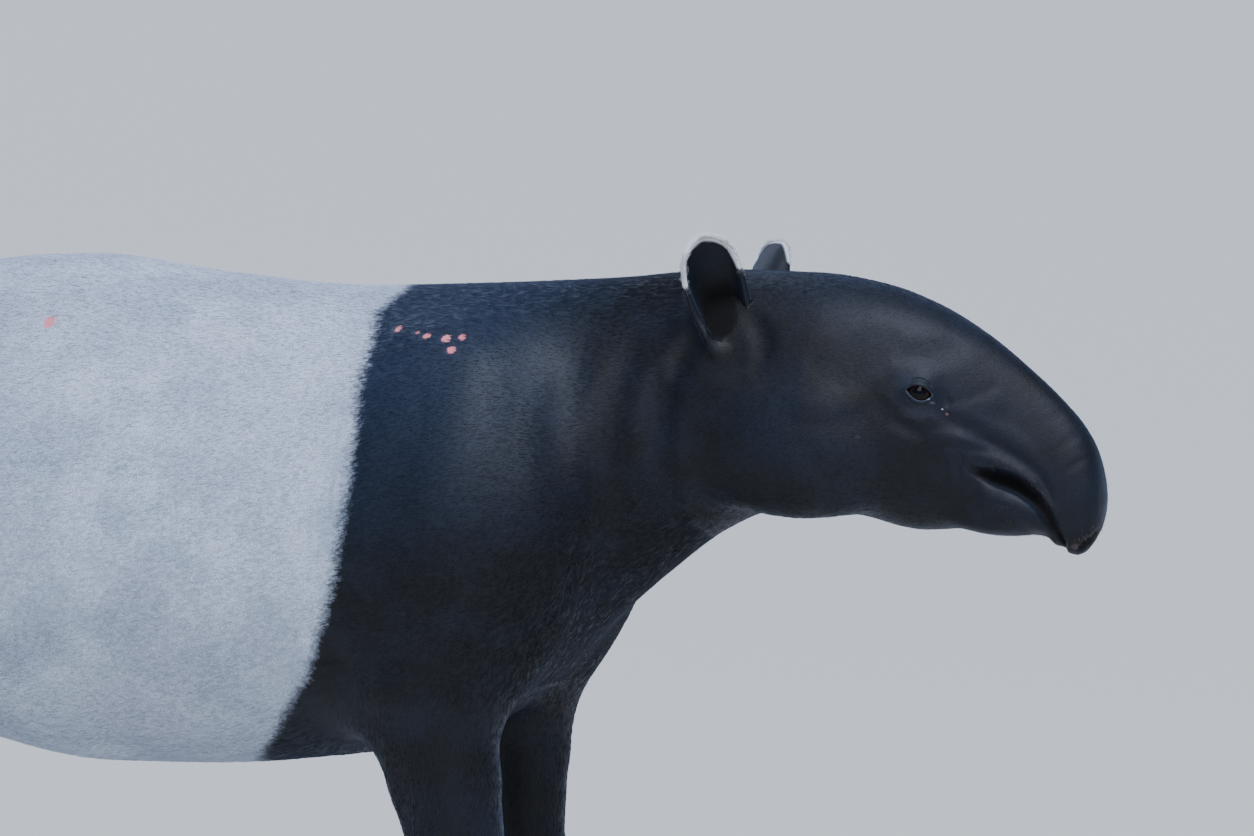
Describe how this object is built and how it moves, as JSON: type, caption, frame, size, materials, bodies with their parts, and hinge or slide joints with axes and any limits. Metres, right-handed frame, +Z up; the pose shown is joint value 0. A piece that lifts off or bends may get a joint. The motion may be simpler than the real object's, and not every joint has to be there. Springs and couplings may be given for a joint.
{
  "type": "tapir model",
  "caption": "Life-size still model of a standing Malayan tapir: black with a pale saddle, short hanging trunk, cupped ears, stub tail and hoofed toes.",
  "frame": {"origin": "middle of the box around the animal, on the floor its hooves stand on", "axes": "+X the way the animal faces, +Y its left side, +Z up"},
  "size_m": [1.8432, 0.5334, 1.0401],
  "materials": {
    "black_coat": "short flat black hair with a faint blue-grey sheen, over black skin",
    "grey_coat": "short flat pale grey hair, softly mottled, over grey-lilac skin",
    "hoof_horn": "dull dark horn with fine growth rings",
    "eye": "wet dark brown eyeball"
  },
  "bodies": {
    "root": {"head": "black_coat", "proboscis": "black_coat", "lower_jaw": "black_coat", "neck": "black_coat", "forequarters": "black_coat", "barrel": "grey_coat", "hindquarters": "grey_coat", "tail": "black_coat", "ear_right": "black_coat", "eye_right": "eye", "foreleg_right": "black_coat", "foot_fore_right": "black_coat", "hoof_fore_right_inner": "hoof_horn", "hoof_fore_right_middle": "hoof_horn", "hoof_fore_right_outer": "hoof_horn", "hoof_fore_right_side": "hoof_horn", "hindleg_right": "black_coat", "foot_hind_right": "black_coat", "hoof_hind_right_inner": "hoof_horn", "hoof_hind_right_middle": "hoof_horn", "hoof_hind_right_outer": "hoof_horn", "ear_left": "black_coat", "eye_left": "eye", "foreleg_left": "black_coat", "foot_fore_left": "black_coat", "hoof_fore_left_inner": "hoof_horn", "hoof_fore_left_middle": "hoof_horn", "hoof_fore_left_outer": "hoof_horn", "hoof_fore_left_side": "hoof_horn", "hindleg_left": "black_coat", "foot_hind_left": "black_coat", "hoof_hind_left_inner": "hoof_horn", "hoof_hind_left_middle": "hoof_horn", "hoof_hind_left_outer": "hoof_horn"}
  },
  "joints": []
}
